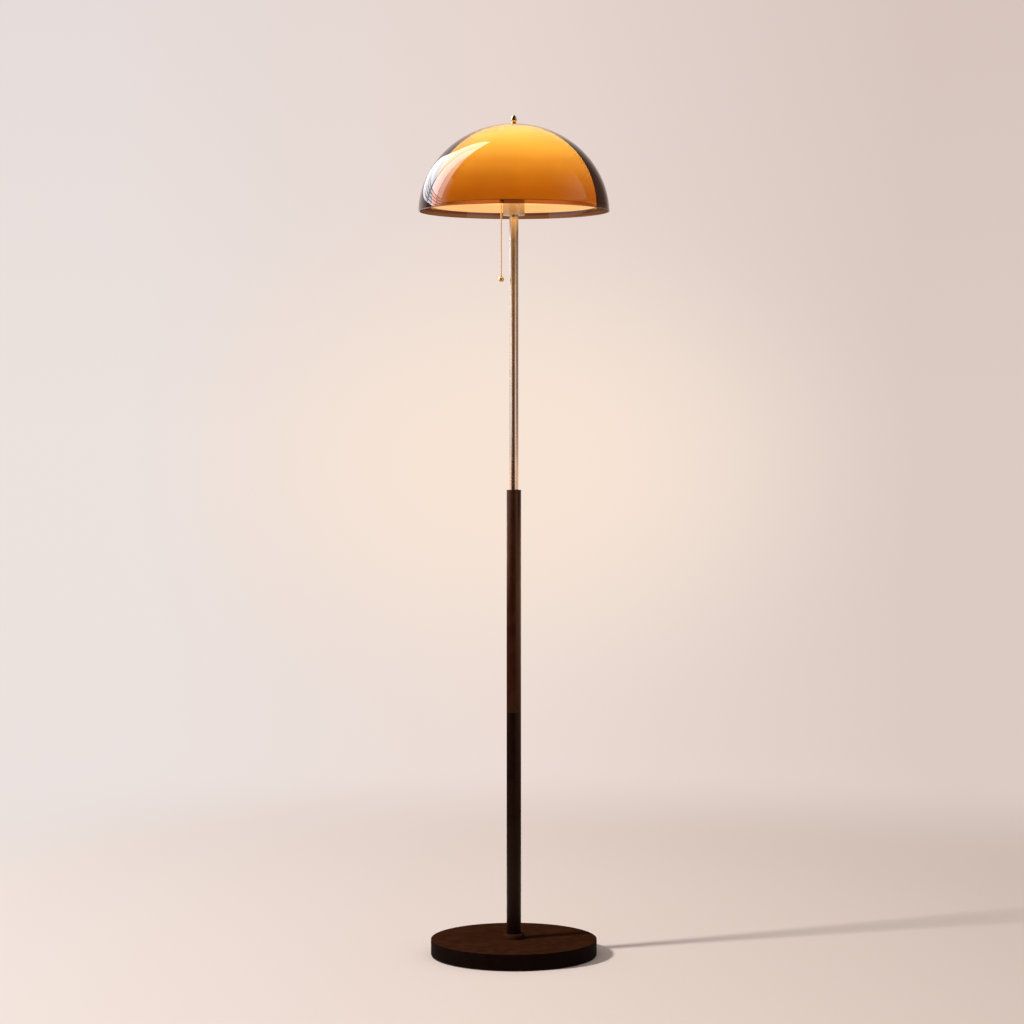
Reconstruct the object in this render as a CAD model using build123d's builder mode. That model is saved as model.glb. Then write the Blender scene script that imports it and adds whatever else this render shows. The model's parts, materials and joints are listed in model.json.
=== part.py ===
"""Floor lamp: a weighted round base, a two-stage pole, a pull-chain switch housing,
and a translucent dome over an opal dome, both clamped on a harp by a ball finial.

Millimetres. Origin at the centre of the underside, +Z up, front towards -Y.
The pull chain hangs on the -X side of the switch housing.
"""
import math
import os

from build123d import *

os.makedirs("parts", exist_ok=True)

# ---- driving dimensions: base --------------------------------------------------
base_radius = 156.0
base_height = 31.4            # top face above the floor
base_wall = 3.0
base_edge = 0.8               # rounding of the top and bottom rims
pad_thickness = 2.0
pad_inset = 1.5
ballast_thickness = 11.0
ballast_gap = 1.0             # between the ballast's rim and the shell's wall
ballast_web = 4.0             # ballast left over the nut's pocket
pocket_radius = 22.0
washer_radius = 16.0
washer_thickness = 2.0
nut_thickness = 4.5
nut_wall = 2.15                # from the thread to the flats

# ---- driving dimensions: pole --------------------------------------------------
nipple_radius = 4.85          # hollow threaded lamp pipe
nipple_bore = 3.3
nipple_grip = 16.0            # how far a nipple screws into an insert
insert_length = 18.0
collar_radius = 20.5
collar_height = 9.6
collar_round = 2.6
lower_pole_radius = 13.6
lower_pole_wall = 1.6
lower_section_length = 417.25  # each of the two equal screwed sections
coupler_length = 40.0
pole_end_bevel = 0.35         # leaves the fine joint line between the sections
upper_pole_radius = 8.4
upper_pole_wall = 1.2
upper_pole_shown = 512.2      # between the lower pole and the switch housing
upper_pole_hidden = 70.0      # inside the lower pole
reducer_length = 14.0
guide_length = 12.0

# ---- driving dimensions: switch housing ----------------------------------------
check_ring_overhang = 0.65    # past the cup's side
check_ring_thickness = 1.6
cup_radius = 20.15
cup_height = 36.4
cup_wall = 1.2
cup_floor = 1.6
cover_thickness = 1.6
cover_lip = 3.0
thin_nut_thickness = 3.0
case_length = 20.0            # along X
case_width = 16.0             # along Y
case_height = 19.0
case_wall = 2.0
case_left = -14.0             # its face towards the spout
rotor_radius = 6.0
rotor_thickness = 4.0
rotor_pin_radius = 1.5
spring_thickness = 2.0
chain_stand_off = 3.35        # from the cup's side to the chain's line
spout_drop = 6.0              # from the spout's horizontal axis to its mouth
spout_height = 27.7           # the spout's axis above the cup's underside
spout_radius = 3.9
spout_mouth_radius = 3.0
spout_neck_radius = 2.4
spout_nut_across_flats = 11.0
spout_nut_thickness = 2.0

# ---- driving dimensions: pull chain --------------------------------------------
fine_bead_radius = 1.2
fine_pitch = 3.2
fine_beads = 5
stem_beads = 2
bead_radius = 1.6
bead_pitch = 4.24
chain_beads = 25
wire_share = 0.34             # link wire's radius over the bead's radius
coupling_length = 12.0
coupling_radius = 1.9
chain_ball_radius = 5.25
pull_clearance = 0.3          # between pieces of the chain that move apart

# ---- driving dimensions: socket, bulb and harp ---------------------------------
saddle_thickness = 1.5
saddle_width = 10.0
saddle_boss_wall = 3.0        # round the nipple, in the middle of the strip
harp_foot = 26.0              # each harp leg's distance from the axis
harp_wire_radius = 1.9
prong_height = 12.0
ferrule_height = 12.0
ferrule_wall = 1.0
harp_swell = 50.0             # widest distance of the harp's wire from the axis
harp_height = 125.2           # from the cover's top to the seat of the domes
harp_seat_radius = 7.5
harp_seat_thickness = 2.0
stud_radius = 2.4
stud_grip = 8.0               # the stud's length inside the finial
socket_radius = 17.0
socket_cap_height = 7.5
socket_wall = 1.8
socket_height = 30.0
insulator_thickness = 5.0
contact_radius = 4.0
contact_thickness = 1.5
screw_shell_radius = 14.0
screw_shell_wall = 0.5
screw_shell_height = 20.0
bulb_cap_radius = 13.1
bulb_cap_height = 24.0
bulb_radius = 24.0
bulb_neck_radius = 12.2
bulb_rise = 32.0              # from the cap's top to the globe's centre
bulb_wall = 0.9

# ---- driving dimensions: domes and finial --------------------------------------
inner_dome_radius = 154.0
inner_dome_rise = 150.5
inner_dome_wall = 2.5
inner_dome_flat = 8.0         # radius of the flat crown
outer_dome_radius = 178.7
outer_dome_rise = 163.6       # rim plane to crown
outer_dome_tuck = 5.4         # the ellipse's centre lies this far under the rim
outer_dome_wall = 2.5
dome_hole_radius = 3.2
dome_washer_radius = 7.0
dome_washer_thickness = 0.75
crown_sag = 0.2               # how much the outer crown falls over the washer
finial_flange_radius = 5.2
finial_flange_thickness = 1.4
finial_neck_radius = 3.6
finial_ball_radius = 5.3
finial_height = 15.9

# ---- driving dimensions: wiring ------------------------------------------------
lead_radius = 2.25
lead_height = 8.0             # of its run above the floor, inside the base
lead_bend = 9.0
gland_radius = 4.0
gland_flange_radius = 5.4
gland_flange_thickness = 2.0
gland_barrel = 9.0
socket_lead_radius = 2.0

# ---- clearances ----------------------------------------------------------------
thread_clearance = 0.1
seat_clearance = 0.05         # pressed inserts and bushes, on the radius
running_clearance = 0.05      # a turning piece on its pin, on the radius
hole_clearance = 0.35         # a nipple through a plain hole, on the radius
loose_clearance = 0.3         # pieces that only stand next to each other

# ---- levels worked out from the sizes above ------------------------------------
base_ceiling = base_height - base_wall
ballast_low = base_ceiling - ballast_thickness
washer_high = base_ceiling - ballast_web
washer_low = washer_high - washer_thickness
foot_nut_low = washer_low - nut_thickness
foot_nipple_low = foot_nut_low - 0.5
pole_foot = base_height + collar_height
pole_seam = pole_foot + lower_section_length
lower_pole_top_level = pole_seam + lower_section_length
upper_pole_low = lower_pole_top_level - upper_pole_hidden
upper_pole_high = lower_pole_top_level + upper_pole_shown
cup_low = upper_pole_high + check_ring_thickness
cup_high = cup_low + cup_height
cover_high = cup_high + cover_thickness
spout_level = cup_low + spout_height
spout_mouth = spout_level - spout_drop
saddle_high = cover_high + saddle_thickness
insulator_low = saddle_high + socket_cap_height
insulator_high = insulator_low + insulator_thickness
contact_high = insulator_high + contact_thickness
bulb_cap_low = contact_high + loose_clearance
bulb_cap_high = bulb_cap_low + bulb_cap_height
bulb_centre = bulb_cap_high + bulb_rise
dome_seat = cover_high + harp_height
inner_crown = dome_seat + inner_dome_wall
inner_rim = inner_crown - inner_dome_rise
outer_underside = inner_crown + dome_washer_thickness + crown_sag
outer_crown = outer_underside + outer_dome_wall
outer_rim = outer_crown - outer_dome_rise
finial_top = outer_crown + finial_height

# The chain's two pivots are centres of beads, so the links turn clear of them.
upper_pivot = spout_mouth - 0.5
lower_pivot = upper_pivot - fine_pitch * fine_beads
coupling_high = lower_pivot - fine_bead_radius - pull_clearance - 1.0
coupling_low = coupling_high - coupling_length
first_bead = coupling_low - bead_pitch / 2 - 0.3
last_bead = first_bead - bead_pitch * (chain_beads - 1)
chain_ball_centre = last_bead - bead_radius - chain_ball_radius + 0.1

rotor_x = case_left + case_length / 2
rotor_level = spout_level - rotor_radius

chain_offset = cup_radius + chain_stand_off
check_ring_radius = cup_radius + check_ring_overhang
nut_across_flats = 2 * (nipple_radius + nut_wall)
lower_pole_bore = lower_pole_radius - lower_pole_wall
upper_pole_bore = upper_pole_radius - upper_pole_wall
thread_bore = nipple_radius + thread_clearance
plain_bore = nipple_radius + hole_clearance


# ---- helpers -------------------------------------------------------------------
def save(piece, name):
    """Label a finished piece and write it to its own file."""
    piece.part.label = name
    export_step(piece.part, f"parts/{name}.step")


def ring(outer_radius, inner_radius, low, high):
    """A plain upright tube or washer between two levels."""
    with BuildPart() as piece:
        with BuildSketch(Plane.XY.offset(low)):
            Circle(outer_radius)
            Circle(inner_radius, mode=Mode.SUBTRACT)
        extrude(amount=high - low)
    return piece


def pole_section(outer_radius, inner_radius, low, high):
    """A tube whose outer end edges carry the fine bevel of a turned end."""
    with BuildPart() as piece:
        with BuildSketch(Plane.XY.offset(low)):
            Circle(outer_radius)
            Circle(inner_radius, mode=Mode.SUBTRACT)
        extrude(amount=high - low)
        rims = piece.edges().filter_by(GeomType.CIRCLE).sort_by(SortBy.RADIUS)[-2:]
        chamfer(rims, length=pole_end_bevel)
    return piece


def hex_nut(across_flats, bore_radius, low, high):
    """A hexagonal nut on the lamp's axis."""
    with BuildPart() as piece:
        with BuildSketch(Plane.XY.offset(low)):
            RegularPolygon(across_flats / 2, 6, major_radius=False)
            Circle(bore_radius, mode=Mode.SUBTRACT)
        extrude(amount=high - low)
    return piece


def bead_string(radius, pitch, count, top_centre, wire_high, wire_low):
    """Beads on one link wire, hanging on the chain's line, as one turned solid."""
    wire = radius * wire_share
    reach = math.sqrt(radius**2 - wire**2)
    with BuildPart() as piece:
        with BuildSketch(Plane.XZ):
            with BuildLine():
                line = Polyline((0, wire_high), (wire, wire_high))
                for index in range(count):
                    centre = top_centre - pitch * index
                    if (line @ 1).Y > centre + reach + 0.001:
                        line = Line(line @ 1, (wire, centre + reach))
                    line = ThreePointArc(line @ 1, (radius, centre), (wire, centre - reach))
                if (line @ 1).Y > wire_low + 0.001:
                    line = Line(line @ 1, (wire, wire_low))
                Polyline(line @ 1, (0, wire_low), (0, wire_high))
            make_face()
        revolve(axis=Axis.Z)
    piece.part.position = (-chain_offset, 0, 0)
    return piece


# ---- base ----------------------------------------------------------------------
gland_plane = Plane(origin=(0, base_radius, lead_height), x_dir=(1, 0, 0), z_dir=(0, 1, 0))

with BuildPart() as base_disc:
    with BuildSketch(Plane.XY.offset(pad_thickness)):
        Circle(base_radius)
    extrude(amount=base_height - pad_thickness)
    with BuildSketch(Plane.XY.offset(pad_thickness)):
        Circle(base_radius - base_wall)
    extrude(amount=base_ceiling - pad_thickness, mode=Mode.SUBTRACT)
    rims = base_disc.edges().filter_by(GeomType.CIRCLE).group_by(SortBy.RADIUS)[-1]
    fillet(rims, radius=base_edge)
    with BuildSketch(Plane.XY.offset(base_height)):
        Circle(plain_bore)
    extrude(amount=-2 * base_wall, mode=Mode.SUBTRACT)
    with BuildSketch(gland_plane):
        Circle(gland_radius)
    extrude(amount=-3 * base_wall, mode=Mode.SUBTRACT)
save(base_disc, "base_disc")

with BuildPart() as base_weight:
    with BuildSketch(Plane.XY.offset(ballast_low)):
        Circle(base_radius - base_wall - ballast_gap)
        Circle(plain_bore, mode=Mode.SUBTRACT)
    extrude(amount=ballast_thickness)
    with BuildSketch(Plane.XY.offset(ballast_low)):
        Circle(pocket_radius)
    extrude(amount=washer_high - ballast_low, mode=Mode.SUBTRACT)
save(base_weight, "base_weight")

with BuildPart() as base_pad:
    with BuildSketch():
        Circle(base_radius - pad_inset)
    extrude(amount=pad_thickness)
save(base_pad, "base_pad")

with BuildPart() as cord_gland:
    with BuildSketch(gland_plane):
        Circle(gland_flange_radius)
    extrude(amount=gland_flange_thickness)
    with BuildSketch(gland_plane):
        Circle(gland_radius - seat_clearance)
    extrude(amount=-gland_barrel)
    fillet(cord_gland.edges().filter_by(GeomType.CIRCLE).sort_by(Axis.Y)[-1], radius=base_edge)
    with BuildSketch(gland_plane.offset(gland_flange_thickness)):
        Circle(lead_radius + thread_clearance)
    extrude(amount=-gland_flange_thickness - gland_barrel, mode=Mode.SUBTRACT)
# The flange seats on the curved wall, so its back is hollowed to the base's radius.
with BuildPart() as gland_seat:
    with BuildSketch(Plane.XY):
        Circle(base_radius)
        Circle(base_radius - base_wall, mode=Mode.SUBTRACT)
    extrude(amount=base_height)
    with BuildSketch(gland_plane):
        Circle(gland_radius)
    extrude(amount=-3 * base_wall, mode=Mode.SUBTRACT)
with BuildPart() as cord_gland_seated:
    add(cord_gland.part)
    add(gland_seat.part, mode=Mode.SUBTRACT)
save(cord_gland_seated, "cord_gland")

save(ring(washer_radius, plain_bore, washer_low, washer_high), "foot_washer")
save(hex_nut(nut_across_flats, thread_bore, foot_nut_low, washer_low), "foot_nut")
save(ring(nipple_radius, nipple_bore, foot_nipple_low, pole_foot + nipple_grip), "foot_nipple")

# ---- pole ----------------------------------------------------------------------
with BuildPart() as pole_collar:
    with BuildSketch(Plane.XY.offset(base_height)):
        Circle(collar_radius)
    extrude(amount=collar_height)
    fillet(pole_collar.edges().sort_by(Axis.Z)[-1], radius=collar_round)
    with BuildSketch(Plane.XY.offset(base_height)):
        Circle(thread_bore)
    extrude(amount=collar_height, mode=Mode.SUBTRACT)
save(pole_collar, "pole_collar")

press_radius = lower_pole_bore - seat_clearance
save(ring(press_radius, thread_bore, pole_foot, pole_foot + insert_length), "foot_insert")
save(pole_section(lower_pole_radius, lower_pole_bore, pole_foot, pole_seam), "lower_pole_bottom")
save(
    ring(press_radius, thread_bore, pole_seam - coupler_length / 2, pole_seam + coupler_length / 2),
    "mid_coupler",
)
save(
    pole_section(lower_pole_radius, lower_pole_bore, pole_seam, lower_pole_top_level),
    "lower_pole_top",
)

slide_radius = upper_pole_radius + seat_clearance
save(
    ring(press_radius, slide_radius, lower_pole_top_level - reducer_length, lower_pole_top_level),
    "pole_reducer",
)
save(
    ring(press_radius, slide_radius, upper_pole_low, upper_pole_low + guide_length),
    "pole_guide",
)
save(ring(upper_pole_radius, upper_pole_bore, upper_pole_low, upper_pole_high), "upper_pole")
save(
    ring(
        upper_pole_bore - seat_clearance,
        thread_bore,
        upper_pole_high - insert_length,
        upper_pole_high,
    ),
    "head_insert",
)

# ---- switch housing ------------------------------------------------------------
head_nut_low = cup_low + cup_floor
head_nut_high = head_nut_low + nut_thickness
head_nipple_high = head_nut_high + 1.0
save(
    ring(nipple_radius, nipple_bore, upper_pole_high - nipple_grip, head_nipple_high),
    "head_nipple",
)
save(hex_nut(nut_across_flats, thread_bore, head_nut_low, head_nut_high), "head_nut")

with BuildPart() as check_ring:
    with BuildSketch(Plane.XY.offset(upper_pole_high)):
        Circle(check_ring_radius)
    extrude(amount=check_ring_thickness)
    fillet(check_ring.edges(), radius=check_ring_thickness / 3)
    with BuildSketch(Plane.XY.offset(upper_pole_high)):
        Circle(thread_bore)
    extrude(amount=check_ring_thickness, mode=Mode.SUBTRACT)
save(check_ring, "check_ring")

spout_plane = Plane(origin=(-chain_offset, 0, spout_level), x_dir=(0, 1, 0), z_dir=(1, 0, 0))

with BuildPart() as switch_cup:
    with BuildSketch(Plane.XY.offset(cup_low)):
        Circle(cup_radius)
    extrude(amount=cup_height)
    with BuildSketch(Plane.XY.offset(cup_low + cup_floor)):
        Circle(cup_radius - cup_wall)
    extrude(amount=cup_height, mode=Mode.SUBTRACT)
    with BuildSketch(Plane.XY.offset(cup_low)):
        Circle(thread_bore)
    extrude(amount=cup_floor, mode=Mode.SUBTRACT)
    with BuildSketch(spout_plane):
        Circle(spout_radius + thread_clearance)
    extrude(amount=chain_offset, mode=Mode.SUBTRACT)
save(switch_cup, "switch_cup")

with BuildPart() as cup_cover:
    with BuildSketch(Plane.XY.offset(cup_high)):
        Circle(cup_radius)
    extrude(amount=cover_thickness)
    fillet(cup_cover.edges().sort_by(Axis.Z)[-1], radius=cover_thickness / 2)
    with BuildSketch(Plane.XY.offset(cup_high)):
        Circle(cup_radius - cup_wall - thread_clearance)
        Circle(cup_radius - 2 * cup_wall - thread_clearance, mode=Mode.SUBTRACT)
    extrude(amount=-cover_lip)
    with BuildSketch(Plane.XY.offset(cup_high)):
        Circle(thread_bore)
    extrude(amount=cover_thickness, mode=Mode.SUBTRACT)
save(cup_cover, "cup_cover")

# ---- pull-chain switch ---------------------------------------------------------
case_low = spout_level + spout_radius + 0.6 - case_height
rotor_plane = Plane(origin=(rotor_x, 0, rotor_level), x_dir=(1, 0, 0), z_dir=(0, -1, 0))
case_centre = (rotor_x, 0, case_low + case_height / 2)
cavity_radius = rotor_radius + loose_clearance
cavity_half = case_width / 2 - case_wall

with BuildPart() as switch_case:
    with Locations(case_centre):
        Box(case_length, case_width, case_height)
    fillet(switch_case.edges().filter_by(Axis.Z), radius=case_wall)
    with BuildSketch(rotor_plane):
        Circle(cavity_radius)
    extrude(amount=cavity_half, both=True, mode=Mode.SUBTRACT)
    with BuildSketch(rotor_plane):
        Circle(rotor_pin_radius)
    extrude(amount=case_width / 2, both=True, mode=Mode.SUBTRACT)
    # The chain leaves the rotor's top through this bore, on the spout's axis.
    with BuildSketch(spout_plane):
        Circle(fine_bead_radius + loose_clearance)
    extrude(amount=chain_offset + rotor_x, mode=Mode.SUBTRACT)
save(switch_case, "switch_case")

with BuildPart() as rotor_pin:
    with BuildSketch(rotor_plane):
        Circle(rotor_pin_radius)
    extrude(amount=case_width / 2, both=True)
save(rotor_pin, "rotor_pin")

with BuildPart() as switch_rotor:
    with BuildSketch(rotor_plane):
        Circle(rotor_radius)
        Circle(rotor_pin_radius + running_clearance, mode=Mode.SUBTRACT)
    extrude(amount=rotor_thickness / 2, both=True)
    # Ratchet notches round the rim, and the groove that the chain lies in.
    with BuildSketch(rotor_plane):
        with PolarLocations(rotor_radius, 4, start_angle=45):
            Circle(rotor_radius / 6)
    extrude(amount=rotor_thickness / 2, both=True, mode=Mode.SUBTRACT)
save(switch_rotor, "switch_rotor")

with BuildPart() as return_spring:
    with BuildSketch(rotor_plane.offset(rotor_thickness / 2 + loose_clearance)):
        Circle(rotor_radius * 0.75)
        Circle(rotor_pin_radius + loose_clearance, mode=Mode.SUBTRACT)
    extrude(amount=spring_thickness - loose_clearance)
save(return_spring, "return_spring")

spout_bore = fine_bead_radius + pull_clearance
with BuildPart() as switch_spout:
    with BuildSketch(spout_plane):
        Circle(spout_radius)
    extrude(amount=chain_offset + case_left)
    with Locations((-chain_offset, 0, spout_level)):
        Sphere(spout_radius)
    with BuildSketch(Plane((-chain_offset, 0, spout_mouth))):
        Circle(spout_mouth_radius)
    with BuildSketch(Plane((-chain_offset, 0, spout_mouth + spout_drop / 3))):
        Circle(spout_neck_radius)
    loft()
    with BuildSketch(Plane((-chain_offset, 0, spout_mouth + spout_drop / 3))):
        Circle(spout_neck_radius)
    extrude(amount=spout_drop * 2 / 3)
    with BuildSketch(Plane((-chain_offset, 0, spout_level))):
        Circle(spout_bore)
    extrude(amount=-spout_drop, mode=Mode.SUBTRACT)
    with BuildSketch(spout_plane):
        Circle(spout_bore)
    extrude(amount=chain_offset + case_left, mode=Mode.SUBTRACT)
save(switch_spout, "switch_spout")

nut_chord = math.sqrt((cup_radius - cup_wall) ** 2 - (spout_nut_across_flats / 1.7) ** 2)
with BuildPart() as spout_nut:
    with BuildSketch(Plane(origin=(-nut_chord, 0, spout_level), x_dir=(0, 1, 0), z_dir=(1, 0, 0))):
        RegularPolygon(spout_nut_across_flats / 2, 6, major_radius=False)
        Circle(spout_radius + thread_clearance, mode=Mode.SUBTRACT)
    extrude(amount=spout_nut_thickness)
save(spout_nut, "spout_nut")

# ---- pull chain ----------------------------------------------------------------
fine_wire = fine_bead_radius * wire_share
fine_start = fine_bead_radius + pull_clearance
save(
    bead_string(
        fine_bead_radius,
        fine_pitch,
        stem_beads,
        upper_pivot + fine_pitch * (stem_beads - 1),
        upper_pivot + fine_pitch * (stem_beads - 1) + fine_bead_radius + fine_wire,
        upper_pivot - math.sqrt(fine_bead_radius**2 - fine_wire**2),
    ),
    "chain_stem",
)
save(
    bead_string(
        fine_bead_radius,
        fine_pitch,
        fine_beads,
        upper_pivot - fine_pitch,
        upper_pivot - fine_start,
        lower_pivot - math.sqrt(fine_bead_radius**2 - fine_wire**2),
    ),
    "chain_upper",
)

# The coupling is a pressed brass barrel with a bulb at each end.
with BuildPart() as chain_coupling:
    with BuildSketch(Plane.XZ):
        with BuildLine():
            waist = coupling_radius * 0.7
            half = coupling_length / 2
            middle = coupling_low + half
            Polyline((0, coupling_low), (fine_wire, coupling_low))
            ThreePointArc(
                (fine_wire, coupling_low),
                (coupling_radius, coupling_low + half * 0.55),
                (waist, middle),
            )
            ThreePointArc(
                (waist, middle),
                (coupling_radius, coupling_high - half * 0.5),
                (fine_wire, coupling_high),
            )
            Polyline(
                (fine_wire, coupling_high),
                (fine_wire, lower_pivot - fine_start),
                (0, lower_pivot - fine_start),
                (0, coupling_low),
            )
        make_face()
    revolve(axis=Axis.Z)
chain_coupling.part.position = (-chain_offset, 0, 0)
save(chain_coupling, "chain_coupling")

save(
    bead_string(
        bead_radius,
        bead_pitch,
        chain_beads,
        first_bead,
        coupling_low,
        last_bead - bead_radius * 0.9,
    ),
    "chain_lower",
)

with BuildPart() as chain_ball:
    with Locations((-chain_offset, 0, chain_ball_centre)):
        Sphere(chain_ball_radius)
    with BuildSketch(Plane((-chain_offset, 0, chain_ball_centre + chain_ball_radius * 0.8))):
        Circle(bead_radius + 0.5)
    extrude(amount=chain_ball_radius * 0.4)
    with Locations((-chain_offset, 0, last_bead)):
        Sphere(bead_radius + seat_clearance, mode=Mode.SUBTRACT)
save(chain_ball, "chain_ball")

# ---- socket --------------------------------------------------------------------
socket_nut_low = cup_high - thin_nut_thickness
save(hex_nut(nut_across_flats, thread_bore, socket_nut_low, cup_high), "socket_nut")
save(
    ring(nipple_radius, nipple_bore, socket_nut_low - 0.4, insulator_low - 2.0),
    "socket_nipple",
)

with BuildPart() as harp_saddle:
    with BuildSketch(Plane.XY.offset(cover_high)):
        SlotOverall(2 * harp_foot + saddle_width, saddle_width)
        Circle(thread_bore + saddle_boss_wall)
        Circle(thread_bore, mode=Mode.SUBTRACT)
    extrude(amount=saddle_thickness)
    with BuildSketch(Plane.XY.offset(saddle_high)):
        with Locations((harp_foot, 0), (-harp_foot, 0)):
            Circle(harp_wire_radius)
    extrude(amount=prong_height)
save(harp_saddle, "harp_saddle")

prong_high = saddle_high + prong_height
with BuildPart() as harp_ferrules:
    with BuildSketch(Plane.XY.offset(prong_high - ferrule_height / 2)):
        with Locations((harp_foot, 0), (-harp_foot, 0)):
            Circle(harp_wire_radius + seat_clearance + ferrule_wall)
            Circle(harp_wire_radius + seat_clearance, mode=Mode.SUBTRACT)
    extrude(amount=ferrule_height)
save(harp_ferrules, "harp_ferrules")

wire_top = dome_seat - harp_seat_thickness - harp_wire_radius
swell_low = prong_high + ferrule_height * 2.6
swell_high = wire_top - (harp_swell - harp_seat_radius) * 0.85
with BuildPart() as harp:
    with BuildLine():
        FilletPolyline(
            (-harp_foot, 0, prong_high),
            (-harp_foot, 0, prong_high + ferrule_height),
            (-harp_swell, 0, swell_low),
            (-harp_swell, 0, swell_high),
            (-2 * harp_seat_radius, 0, wire_top),
            (2 * harp_seat_radius, 0, wire_top),
            (harp_swell, 0, swell_high),
            (harp_swell, 0, swell_low),
            (harp_foot, 0, prong_high + ferrule_height),
            (harp_foot, 0, prong_high),
            radius=10.0,
        )
    with BuildSketch(Plane((-harp_foot, 0, prong_high))):
        Circle(harp_wire_radius)
    sweep()
    with BuildSketch(Plane.XY.offset(dome_seat)):
        Circle(harp_seat_radius)
    extrude(amount=-harp_seat_thickness - harp_wire_radius / 2)
    with BuildSketch(Plane.XY.offset(dome_seat)):
        Circle(stud_radius)
    extrude(amount=outer_crown + stud_grip - dome_seat)
save(harp, "harp")

with BuildPart() as socket_cap:
    with BuildSketch(Plane.XY.offset(saddle_high)):
        Circle(socket_radius)
    extrude(amount=socket_cap_height)
    fillet(socket_cap.edges().sort_by(Axis.Z)[0], radius=socket_wall)
    with BuildSketch(Plane.XY.offset(saddle_high + socket_wall)):
        Circle(socket_radius - socket_wall)
    extrude(amount=socket_cap_height, mode=Mode.SUBTRACT)
    with BuildSketch(Plane.XY.offset(saddle_high)):
        Circle(thread_bore)
    extrude(amount=socket_wall, mode=Mode.SUBTRACT)
save(socket_cap, "socket_cap")

sleeve_high = insulator_low + socket_height
save(
    ring(socket_radius, socket_radius - socket_wall, insulator_low, sleeve_high),
    "socket_sleeve",
)
save(
    ring(socket_radius - socket_wall - seat_clearance, 1.0, insulator_low, insulator_high),
    "socket_insulator",
)
with BuildPart() as centre_contact:
    with BuildSketch(Plane.XY.offset(insulator_high)):
        Circle(contact_radius)
    extrude(amount=contact_thickness)
save(centre_contact, "centre_contact")
save(
    ring(
        screw_shell_radius,
        screw_shell_radius - screw_shell_wall,
        insulator_high,
        insulator_high + screw_shell_height,
    ),
    "screw_shell",
)

# ---- bulb ----------------------------------------------------------------------
with BuildPart() as bulb_cap:
    with BuildSketch(Plane.XY.offset(bulb_cap_low)):
        Circle(contact_radius)
    with BuildSketch(Plane.XY.offset(bulb_cap_low + bulb_cap_height / 5)):
        Circle(bulb_cap_radius)
    loft()
    with BuildSketch(Plane.XY.offset(bulb_cap_low + bulb_cap_height / 5)):
        Circle(bulb_cap_radius)
    extrude(amount=bulb_cap_height * 4 / 5)
save(bulb_cap, "bulb_cap")

neck_angle = 50.0             # where the globe's circle turns into the neck
neck_x = bulb_radius * math.cos(math.radians(neck_angle))
neck_z = bulb_centre - bulb_radius * math.sin(math.radians(neck_angle))
inner_share = (bulb_radius - bulb_wall) / bulb_radius
inner_neck_x = neck_x * inner_share
inner_neck_z = bulb_centre - (bulb_centre - neck_z) * inner_share
with BuildPart() as bulb_globe:
    with BuildSketch(Plane.XZ):
        with BuildLine():
            ThreePointArc(
                (0, bulb_centre + bulb_radius),
                (bulb_radius, bulb_centre),
                (neck_x, neck_z),
            )
            Polyline(
                (neck_x, neck_z),
                (bulb_neck_radius, bulb_cap_high),
                (bulb_neck_radius - bulb_wall, bulb_cap_high),
                (inner_neck_x, inner_neck_z),
            )
            ThreePointArc(
                (inner_neck_x, inner_neck_z),
                (bulb_radius - bulb_wall, bulb_centre),
                (0, bulb_centre + bulb_radius - bulb_wall),
            )
            Line((0, bulb_centre + bulb_radius - bulb_wall), (0, bulb_centre + bulb_radius))
        make_face()
    revolve(axis=Axis.Z)
save(bulb_globe, "bulb_globe")

# ---- domes ---------------------------------------------------------------------
with BuildPart() as inner_dome:
    with BuildSketch(Plane.XZ):
        with BuildLine():
            outside = EllipticalCenterArc(
                (inner_dome_flat, inner_rim),
                inner_dome_radius - inner_dome_flat,
                inner_dome_rise,
                start_angle=0,
                arc_size=90,
            )
            inside = EllipticalCenterArc(
                (inner_dome_flat, inner_rim),
                inner_dome_radius - inner_dome_flat - inner_dome_wall,
                inner_dome_rise - inner_dome_wall,
                start_angle=0,
                arc_size=90,
            )
            Polyline(
                outside @ 1,
                (dome_hole_radius, inner_crown),
                (dome_hole_radius, dome_seat),
                inside @ 1,
            )
            Line(inside @ 0, outside @ 0)
        make_face()
    revolve(axis=Axis.Z)
    rims = inner_dome.edges().group_by(Axis.Z)[0].filter_by(GeomType.CIRCLE)
    fillet(rims, radius=inner_dome_wall / 3)
save(inner_dome, "inner_dome")

# The outer profile is an ellipse centred under the rim plane, so its wall leans in
# slightly all the way down.
outer_centre = outer_rim - outer_dome_tuck
outside_start = math.degrees(math.asin(outer_dome_tuck / (outer_crown - outer_centre)))
inside_start = math.degrees(math.asin(outer_dome_tuck / (outer_underside - outer_centre)))
with BuildPart() as outer_dome:
    with BuildSketch(Plane.XZ):
        with BuildLine():
            outside = EllipticalCenterArc(
                (0, outer_centre),
                outer_dome_radius,
                outer_crown - outer_centre,
                start_angle=outside_start,
                arc_size=90 - outside_start,
            )
            inside = EllipticalCenterArc(
                (0, outer_centre),
                outer_dome_radius - outer_dome_wall,
                outer_underside - outer_centre,
                start_angle=inside_start,
                arc_size=90 - inside_start,
            )
            Line(outside @ 1, inside @ 1)
            Line(inside @ 0, outside @ 0)
        make_face()
    revolve(axis=Axis.Z)
    rims = outer_dome.edges().group_by(Axis.Z)[0].filter_by(GeomType.CIRCLE)
    fillet(rims, radius=outer_dome_wall / 3)
    with BuildSketch(Plane.XY.offset(outer_crown)):
        Circle(dome_hole_radius)
    extrude(amount=-2 * outer_dome_wall, mode=Mode.SUBTRACT)
save(outer_dome, "outer_dome")

save(
    ring(
        dome_washer_radius,
        stud_radius + thread_clearance,
        inner_crown,
        inner_crown + dome_washer_thickness,
    ),
    "dome_washer",
)

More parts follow.
